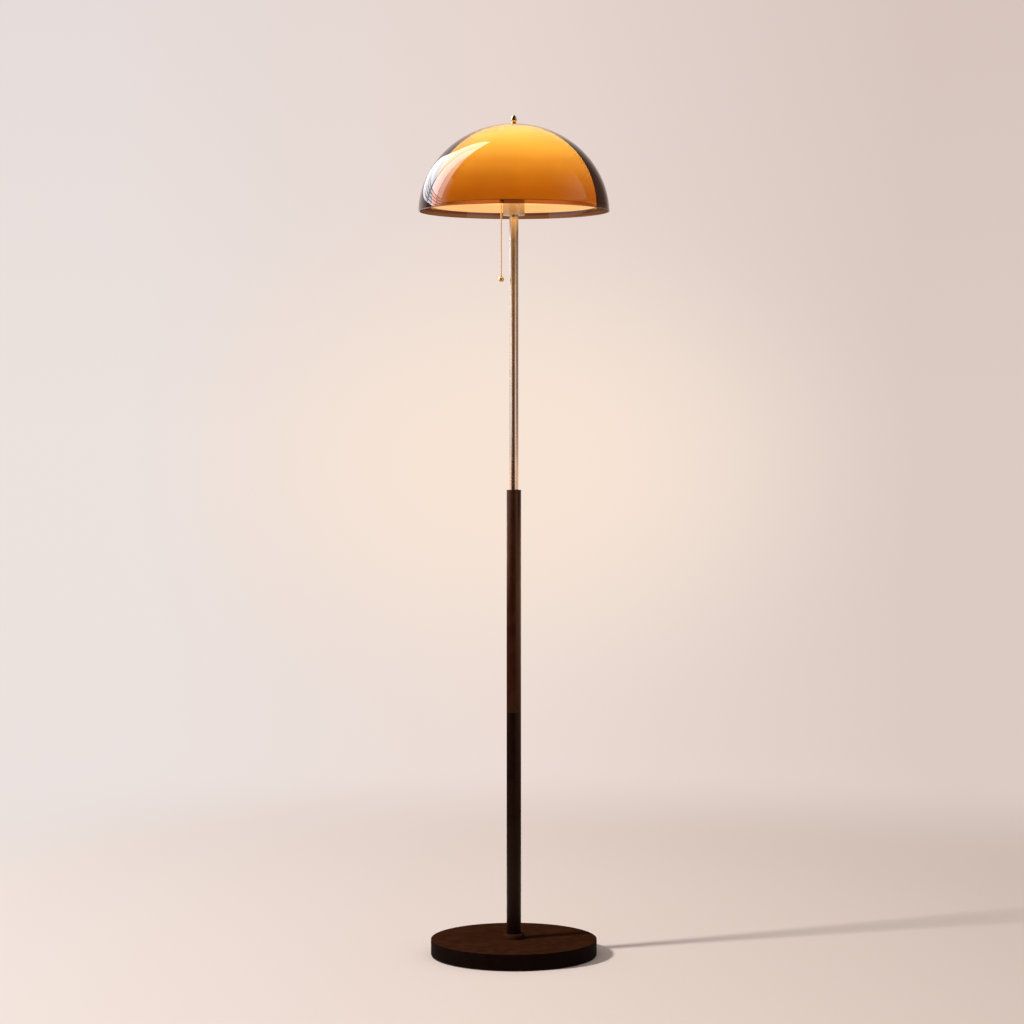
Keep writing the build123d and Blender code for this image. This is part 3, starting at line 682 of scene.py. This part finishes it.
def build_inner_dome():
    """The opal shell, with its inside and rim as a second material: its own painted glow and a darker, warmer
    base colour.
    """
    rise = INNER_CROWN - INNER_RIM
    run = INNER_RADIUS - INNER_FLAT
    edge = 0.5 * MM
    steps = 96

    def wall(inset):
        """From the rim's edge to the flat crown."""
        points = []
        for k in range(steps + 1):
            t = math.pi / 2 * k / steps
            radius = INNER_FLAT + (run - inset) * math.cos(t)
            points.append((radius, INNER_RIM + (rise - inset) * math.sin(t)))
        points[0] = (points[0][0], INNER_RIM + edge)
        return points

    outside, inside = wall(0.0), wall(DOME_WALL)
    rim = [(inside[0][0] + edge, INNER_RIM), (outside[0][0] - edge, INNER_RIM)]
    top = [(DOME_HOLE, INNER_CROWN), (DOME_HOLE, INNER_CROWN - DOME_WALL)]
    points = rim + outside + top + inside[::-1]
    piece = stand_for(lathe("opal_dome", points, 256, sharp=DOME_SHARP), "inner_dome", opal_outside)
    piece.data.materials.append(opal_inside)
    downward = -0.3
    for face in piece.data.polygons:
        away = Vector((face.center.x, face.center.y, face.center.z - INNER_RIM))
        face.material_index = 1 if face.normal.dot(away) < 0 or face.normal.z < downward else 0


build_outer_dome()
build_inner_dome()


# ---------------------------------------------------------------- finial, chain and bulb

FINE_BEAD, FINE_PITCH = 1.2 * MM, 3.2 * MM
BALL_BEAD, BALL_PITCH = 1.6 * MM, 4.24 * MM
SEAM_ANGLE = math.pi * 0.7
SEAM_HALF_WIDTH = 0.12        # radians
SEAM_FROM = 0.6 * MM          # the slit starts this far from the bead's axis
SEAM_DEPTH = 0.05 * MM


def build_finial():
    """A turned finial: a wide foot, a short neck and an egg-shaped knob, drilled from below."""
    radius, low, high = size_of("finial")
    foot, neck, bore = 4.6 * MM, 3.3 * MM, 2.4 * MM
    foot_top, seat, middle = low + 1.7 * MM, low + 2.5 * MM, low + 6.2 * MM
    bore_end, drill_tip = low + 8.0 * MM, low + 9.4 * MM
    steps = 48
    profile = [tuple(point) for point in outline([
        (bore, low, 0),
        (foot, low, 0.25 * MM),
        (foot, foot_top, 0.5 * MM),
        (neck, foot_top + 0.2 * MM, 0.15 * MM),
        (neck, seat, 0),
    ], 5)]
    under = -math.acos(neck / radius)
    depth = (middle - seat) / -math.sin(under)
    for k in range(steps + 1):
        turn = under + (math.pi / 2 - under) * k / steps
        reach = depth if turn < 0 else high - middle
        profile.append((radius * math.cos(turn), middle + reach * math.sin(turn)))
    profile[-1] = (0.0, high)
    profile += [(0.0, drill_tip), (bore, bore_end)]
    stand_for(lathe("finial_knob", profile, 96), "finial", brass)


def ball_arc(radius, centre, start, end, steps=48):
    """Points of a ball's outline from one latitude to another, in radians."""
    angles = [start + (end - start) * k / steps for k in range(steps + 1)]
    return [(radius * math.cos(t), centre + radius * math.sin(t)) for t in angles]


def bead_points(radius, z, wire):
    """Half outline of one hollow chain bead: a ball with a rolled-in mouth at each pole for the link."""
    mouth, sleeve, depth = wire * 1.7, wire * 1.15, radius * 0.28
    latitude = math.pi / 2 - math.asin(mouth / radius)
    points = ball_arc(radius, z, -latitude, latitude, 14)
    low, high = points[0][1], points[-1][1]
    return points + [(sleeve, high - depth), (sleeve, low + depth)]


def seam(angle, r):
    """The closed slit down each bead's side, where its sheet brass was rolled together."""
    off = abs(angle - SEAM_ANGLE)
    nearest = min(off, 2 * math.pi - off)
    return -SEAM_DEPTH if nearest < SEAM_HALF_WIDTH and r > SEAM_FROM else 0.0


def join(name, objects):
    """The objects' meshes as one object."""
    merged = bmesh.new()
    for obj in objects:
        merged.from_mesh(obj.data)
        bpy.data.objects.remove(obj)
    mesh = bpy.data.meshes.new(name)
    merged.to_mesh(mesh)
    merged.free()
    obj = bpy.data.objects.new(name, mesh)
    bpy.context.scene.collection.objects.link(obj)
    return obj


def build_beads(name, node, radius, pitch):
    """A run of beads and the dumb-bell wires between them, from the node's top bead down to its last."""
    low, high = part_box(node)
    middle = middle_of(node)
    centre = (middle.x, middle.y)
    wire, reach = radius * 0.34, radius * 0.75
    run = high.z - low.z - 2 * radius
    count = int(round(run / pitch)) + 1
    first = high.z - radius - max(0.0, run - (count - 1) * pitch)
    parts = []
    for k in range(count):
        z = first - k * pitch
        parts.append(lathe(f"{name}_bead", bead_points(radius, z, wire), 28, centre, swing=seam, sharp=40.0))
        if k:
            start, end = z + reach, z + pitch - reach
            link = [(wire, start), (wire, end), (0.0, end), (0.0, start)]
            parts.append(lathe(f"{name}_wire", link, 12, centre, closed=False))
    stand_for(join(name, parts), node, brass)


def build_chain_ball():
    """The pull: a turned ball with a small collar where the chain enters."""
    radius, low, high = size_of("chain_ball")
    middle = middle_of("chain_ball")
    collar, chamfer, shoulder = 1.9 * MM, 0.35 * MM, 0.15 * MM
    points = [(0.0, low)] + ball_arc(radius, low + radius, -math.pi / 2, math.acos(collar / radius))[1:]
    points += [(collar, high - shoulder), (collar - chamfer, high), (0.0, high)]
    stand_for(lathe("pull_ball", points, 72, (middle.x, middle.y), closed=False), "chain_ball", brass)


def build_bulb():
    """The globe bulb: frosted glass that narrows into a collar."""
    radius, low, high = size_of("bulb_globe")
    centre = high - radius
    neck, bulge = 12.2 * MM, 0.1 * MM
    start = -math.acos((neck + 1.2 * MM) / radius)
    meet = centre + radius * math.sin(start)
    points = [(0.0, low + 0.4 * MM), (neck - 0.4 * MM, low), (neck, low + 0.6 * MM)]
    points.append((neck + bulge, (low + meet) / 2))
    points += ball_arc(radius, centre, start, math.pi / 2)
    points[-1] = (0.0, high)
    stand_for(lathe("bulb_glass", points, 96, closed=False), "bulb_globe", frosted)


build_finial()
build_beads("chain_stem_beads", "chain_stem", FINE_BEAD, FINE_PITCH)
build_beads("chain_fine_beads", "chain_upper", FINE_BEAD, FINE_PITCH)
build_beads("chain_beads", "chain_lower", BALL_BEAD, BALL_PITCH)
build_chain_ball()
build_bulb()


# ---------------------------------------------------------------- floor and background

FLOOR_REACH = 3.2
FLOOR_FADE_FROM, FLOOR_FADE_TO = 1.1, 2.9


def seen_directly(g):
    """1 for rays from the camera, and from gloss and glass, which show the same background."""
    rays = g.add("ShaderNodeLightPath").outputs
    total = rays["Is Camera Ray"]
    for other in ("Is Glossy Ray", "Is Transmission Ray"):
        total = g.math("MAXIMUM", total, rays[other])
    return total


def side_cast(g, across, reach):
    """A painted light cast of the room: cool at the left end of the reach and dim at its right end."""
    share = g.span(across, 0.0, 1.0, -reach, reach, "LINEAR")
    return g.ramp(share, [(0.0, LEFT_CAST), (0.5, NO_CAST), (1.0, RIGHT_CAST)])


def build_world():
    """An even pale room with a soft warm glow behind the lamp, and an even fill that lights it."""
    world = bpy.data.worlds.new("studio")
    bpy.context.scene.world = world
    g = empty_graph(world)
    way = g.split(g.add("ShaderNodeTexCoord").outputs["Generated"])
    level = g.span(way["Z"], 0.0, 1.0, -1.0, 1.0, "LINEAR")
    stops = [(0.42, FLOOR_COLOUR), (0.50, HORIZON), (0.60, BACKDROP_TOP), (1.0, BACKDROP_TOP)]
    wall = g.mix(1.0, g.ramp(level, stops), side_cast(g, way["X"], CAST_REACH), "MULTIPLY")

    # The glow is an ellipse of directions round the horizon behind the lamp.
    ellipse = g.add("ShaderNodeCombineXYZ")
    g.give(ellipse.inputs["X"], g.math("DIVIDE", way["X"], GLOW_WIDTH))
    g.give(ellipse.inputs["Y"], g.math("DIVIDE", g.math("ADD", way["Z"], GLOW_DROP), GLOW_HEIGHT))
    g.give(ellipse.inputs["Z"], g.math("LESS_THAN", way["Y"], 0.0))
    away = g.length(ellipse.outputs["Vector"])
    warm = g.mix(g.span(away, GLOW_LEVEL, 0.0, 0.0, 1.0, "SMOOTHERSTEP"), wall, BACKDROP_GLOW)

    fill = g.shading("ShaderNodeBackground", Color=FILL_COLOUR, Strength=FILL_LEVEL)
    seen = g.shading("ShaderNodeBackground", Color=warm)
    g.end("ShaderNodeOutputWorld", g.choose(seen_directly(g), fill, seen))


def build_floor():
    """A pale floor: real and shadowed round the lamp, and fading into the background further out."""
    rings = 16
    points = [(FLOOR_REACH * k / rings, 0.0) for k in range(rings + 1)]
    floor = lathe("floor", points, 96, closed=False)
    material = bpy.data.materials.new("floor")
    floor.data.materials.append(material)
    g = empty_graph(material)
    place = g.add("ShaderNodeTexCoord").outputs["Object"]
    fade = g.span(g.length(place), 0.0, 1.0, FLOOR_FADE_FROM, FLOOR_FADE_TO, "SMOOTHERSTEP")
    # The floor's colour takes the same painted light cast: lighter and cooler at the left, dimmer at the
    # right.
    cast = side_cast(g, g.split(place)["X"], CAST_REACH * (FLOOR_REACH + CAMERA_PLACE.length))
    colour = g.mix(1.0, FLOOR_COLOUR, cast, "MULTIPLY")
    paper = g.shading("ShaderNodeBsdfDiffuse", Color=colour)
    flat = g.shading("ShaderNodeEmission", Color=colour)
    only_seen = g.math("MULTIPLY", fade, seen_directly(g))
    g.end("ShaderNodeOutputMaterial", g.choose(only_seen, paper, flat))


# ---------------------------------------------------------------- lights and what the gloss sees

SHADE_MIDDLE = Vector((0.0, 0.0, 1.40))
COLUMN_DISTANCE = 1.0
CARD_DISTANCE = 9.0
ROOM_DISTANCE = 12.0
ROOM_FRONT = (0.034, 0.018, 0.012)
ROOM_RIGHT = (0.150, 0.105, 0.085)
ROOM_BACK = (0.80, 0.69, 0.65)

KEY_DISTANCE = 12.0
KEY_ELEVATION = math.radians(40.0)
KEY_SIDE = Vector((-0.92, -0.36, 0.0)).normalized()      # from the lamp towards the key light, level
KEY_AIM = Vector((0.0, 0.0, 0.6))
KEY_SIZE = 1.35
KEY_POWER = 1330.0
KEY_COLOUR = (1.0, 0.975, 0.95)


def on_sphere(distance):
    """Points that far from the shade's middle, by azimuth and elevation in degrees.

    The azimuth runs from the front towards +X.
    """
    def point(azimuth, elevation):
        a, e = math.radians(azimuth), math.radians(elevation)
        way = Vector((math.cos(e) * math.sin(a), -math.cos(e) * math.cos(a), math.sin(e)))
        return SHADE_MIDDLE + way * distance
    return point


def on_column(distance):
    """Points that far from the lamp's axis, by the same azimuth and height."""
    def point(azimuth, height):
        a = math.radians(azimuth)
        return Vector((distance * math.sin(a), -distance * math.cos(a), height))
    return point


def card(name, place, glow, columns=24, rows=24, surface=on_sphere(CARD_DISTANCE)):
    """A curved card that only reflections see.

    place(u, v) gives a point of it in the surface's two terms, and glow its light there.
    """
    verts, lights = [], []
    for j in range(rows + 1):
        for i in range(columns + 1):
            where = place(i / columns, j / rows)
            verts.append(surface(*where))
            lights += [*glow(*where), 1.0]
    width = columns + 1
    corners = [j * width + i for j in range(rows) for i in range(columns)]
    mesh = bpy.data.meshes.new(name)
    mesh.from_pydata(verts, [], [(c, c + 1, c + 1 + width, c + width) for c in corners])
    mesh.attributes.new("glow", "FLOAT_COLOR", "POINT").data.foreach_set("color", lights)
    obj = bpy.data.objects.new(name, mesh)
    bpy.context.scene.collection.objects.link(obj)
    material = bpy.data.materials.new(name)
    mesh.materials.append(material)
    g = empty_graph(material)
    light = g.add("ShaderNodeAttribute", attribute_name="glow").outputs["Color"]
    g.end("ShaderNodeOutputMaterial", g.shading("ShaderNodeEmission", Color=light))
    material.cycles.emission_sampling = "NONE"
    for kind in ("camera", "diffuse", "transmission", "volume_scatter", "shadow"):
        setattr(obj, f"visible_{kind}", False)


def strip(around, rise):
    """A place function for a plain patch between two azimuths and two elevations or heights."""
    return lambda u, v: (around[0] + (around[1] - around[0]) * u, rise[0] + (rise[1] - rise[0]) * v)


def even(colour):
    """A glow function for one light all over a card."""
    return lambda azimuth, rise: colour


def build_room():
    """The room that gloss sees: pale behind the lamp, dim at its right and dark in front of it."""
    def glow(azimuth, elevation):
        clear = (118, 150) if azimuth < 0 else (140, 178)
        behind = smooth(*clear, abs(azimuth)) * (1 - smooth(30, 78, elevation))
        rightward = smooth(40, 95, azimuth) * (1 - smooth(30, 80, elevation))
        return blended(blended(ROOM_FRONT, ROOM_RIGHT, rightward), ROOM_BACK, behind)

    card("room", strip((-180, 180), (-90, 90)), glow, 180, 90, on_sphere(ROOM_DISTANCE))


def build_window():
    """The tall arched window on the left: three columns of panes over slanted slats."""
    edge, inner, shoulder, peak = -140.0, -97.5, 30.0, 66.5
    lean, lean_share, upright_from, upright_to = 29.0, 2.6, 4, 46
    columns = ((edge, -126.3, 5.6), (-125.4, -108.3, 7.4), (-107.5, inner, 4.2))
    foot, pitch, opening, count, slant = 4.6, 2.2, 1.65, 4, 7.5
    white = (0.95, 0.94, 1.0)
    slat_level = 0.75

    def share(azimuth):
        return (azimuth - edge) / (inner - edge)

    def leaning(azimuth, elevation):
        """The window's outer side swings further back towards its foot."""
        outward = max(0.0, 1 - share(azimuth) * lean_share)
        return azimuth - lean * outward * (1 - smooth(upright_from, upright_to, elevation)), elevation

    def pane(first, last):
        def place(u, v):
            azimuth = first + (last - first) * u
            low = foot + pitch * count + slant * (1 - share(azimuth))
            high = shoulder + (peak - shoulder) * math.sqrt(max(0.0, 1 - share(azimuth) ** 2))
            return leaning(azimuth, low + (high - low) * v)
        return place

    def slat(first, last, row):
        def place(u, v):
            azimuth = first + (last - first) * u
            return leaning(azimuth, foot + pitch * row + slant * (1 - share(azimuth)) + opening * v)
        return place

    for c, (first, last, level) in enumerate(columns):
        card(f"window_{c}", pane(first, last), even(dimmed(white, level)))
        for row in range(count):
            card(f"slat_{c}_{row}", slat(first, last, row), even(dimmed(white, slat_level * level)), 8, 2)


def build_veil():
    """Faint reflections: a curtain inside the window, and a pale wall that ends sharply at the right."""
    blush = (1.0, 0.80, 0.70)
    curtain_from, curtain_to = -98.5, -84
    wall_from, wall_to, wall_foot, wall_top = 50, 100, 13, 46

    def curtain(azimuth, elevation):
        return dimmed(blush, 1.5 * (1 - smooth(-98, curtain_to, azimuth)))

    def wall(azimuth, elevation):
        level = smooth(wall_from, wall_to, azimuth) * (1 - smooth(26, wall_top, elevation))
        return dimmed(blush, 0.10 + 0.80 * level)

    card("curtain", strip((curtain_from, curtain_to), (6, 33)), curtain)
    card("right_wall", strip((wall_from, wall_to), (wall_foot, wall_top)), wall)


def build_pole_strips():
    """What the upright metal reflects, from its left edge round to its right, by azimuth and height."""
    foot, seam_height, top = 0.0, 0.852, 1.47
    back, left_end, stripe_from, stripe_to, line_to, paint_end = 180, -48, 14, 66, 104, -58
    dark, near, lit = (0.095, 0.048, 0.032), (0.195, 0.080, 0.042), (0.60, 0.31, 0.135)
    pale, pale_lit = (0.98, 0.96, 0.98), (0.80, 0.58, 0.42)
    bright, bright_lit = (0.98, 0.82, 0.74), (1.10, 0.80, 0.54)
    thin, thin_lit = (0.05, 0.034, 0.025), (0.24, 0.14, 0.075)
    grey, rosy = (0.39, 0.35, 0.33), (1.0, 0.70, 0.56)

    def left(azimuth, height):
        level = (0.74 + 0.26 * smooth(-150, -95, azimuth)) * (1 + 0.35 * smooth(0.95, 1.25, height))
        return blended(dimmed(pale, level), pale_lit, smooth(1.28, 1.45, height) * smooth(-125, -80, azimuth))

    def front(azimuth, height):
        return blended(blended(dark, near, smooth(1.05, 1.28, height)), lit, smooth(1.28, 1.46, height))

    def stripe(azimuth, height):
        shine = blended(bright, bright_lit, smooth(1.2, 1.45, height))
        return blended(front(azimuth, height), shine, smooth(stripe_from, 36, azimuth))

    def line(azimuth, height):
        return blended(thin, thin_lit, smooth(1.25, 1.45, height))

    def paint_left(azimuth, height):
        level = 2.2 * (1 - smooth(-92, -60, azimuth)) * smooth(0.60, 0.80, height)
        return dimmed(rosy, 0.02 + level * (1 - 0.7 * smooth(0.80, 0.85, height)))

    def paint_front(azimuth, height):
        return dimmed(dark, 0.15 + 0.8 * smooth(0.72, 0.85, height))

    def paint_right(azimuth, height):
        level = 1.35 * smooth(stripe_from, 42, azimuth) * smooth(0.05, 0.80, height)
        return dimmed(rosy, 0.02 + level * (1 - 0.6 * smooth(0.80, 0.85, height)))

    tube, paint = (seam_height, top), (foot, seam_height)
    for name, around, rise, glow in (
        ("tube_left", (-back, left_end), tube, left),
        ("tube_front", (left_end, stripe_from), tube, front),
        ("tube_stripe", (stripe_from, stripe_to), tube, stripe),
        ("tube_line", (stripe_to, line_to), tube, line),
        ("tube_grey", (line_to, back), tube, even(grey)),
        ("paint_left", (-back, paint_end), paint, paint_left),
        ("paint_front", (paint_end, stripe_from), paint, paint_front),
        ("paint_right", (stripe_from, back), paint, paint_right),
    ):
        card(name, strip(around, rise), glow, surface=on_column(COLUMN_DISTANCE))


def build_lights():
    """One soft key light from the upper left. The lamp's own glow and the world do the rest."""
    key = bpy.data.lights.new("key", "AREA")
    key.shape = "DISK"
    key.size = KEY_SIZE
    key.energy = KEY_POWER
    key.color = KEY_COLOUR
    lamp = bpy.data.objects.new("key", key)
    bpy.context.scene.collection.objects.link(lamp)
    towards = KEY_SIDE * math.cos(KEY_ELEVATION)
    towards.z = math.sin(KEY_ELEVATION)
    lamp.location = KEY_AIM + towards * KEY_DISTANCE
    lamp.rotation_euler = towards.to_track_quat("Z", "Y").to_euler()
    for kind in ("camera", "glossy", "transmission"):
        setattr(lamp, f"visible_{kind}", False)


def build_camera():
    """The photograph's viewpoint, found from the ellipses of the base and the domes."""
    data = bpy.data.cameras.new("camera")
    data.sensor_width = CAMERA_SENSOR
    data.lens = CAMERA_LENS
    camera = bpy.data.objects.new("camera", data)
    camera.location = CAMERA_PLACE
    camera.rotation_euler = (math.radians(90.0 - CAMERA_DOWN), 0.0, 0.0)
    bpy.context.scene.collection.objects.link(camera)
    bpy.context.scene.camera = camera


build_world()
build_floor()
build_room()
build_window()
build_veil()
build_pole_strips()
build_lights()
build_camera()
bpy.context.scene.view_settings.view_transform = "Standard"
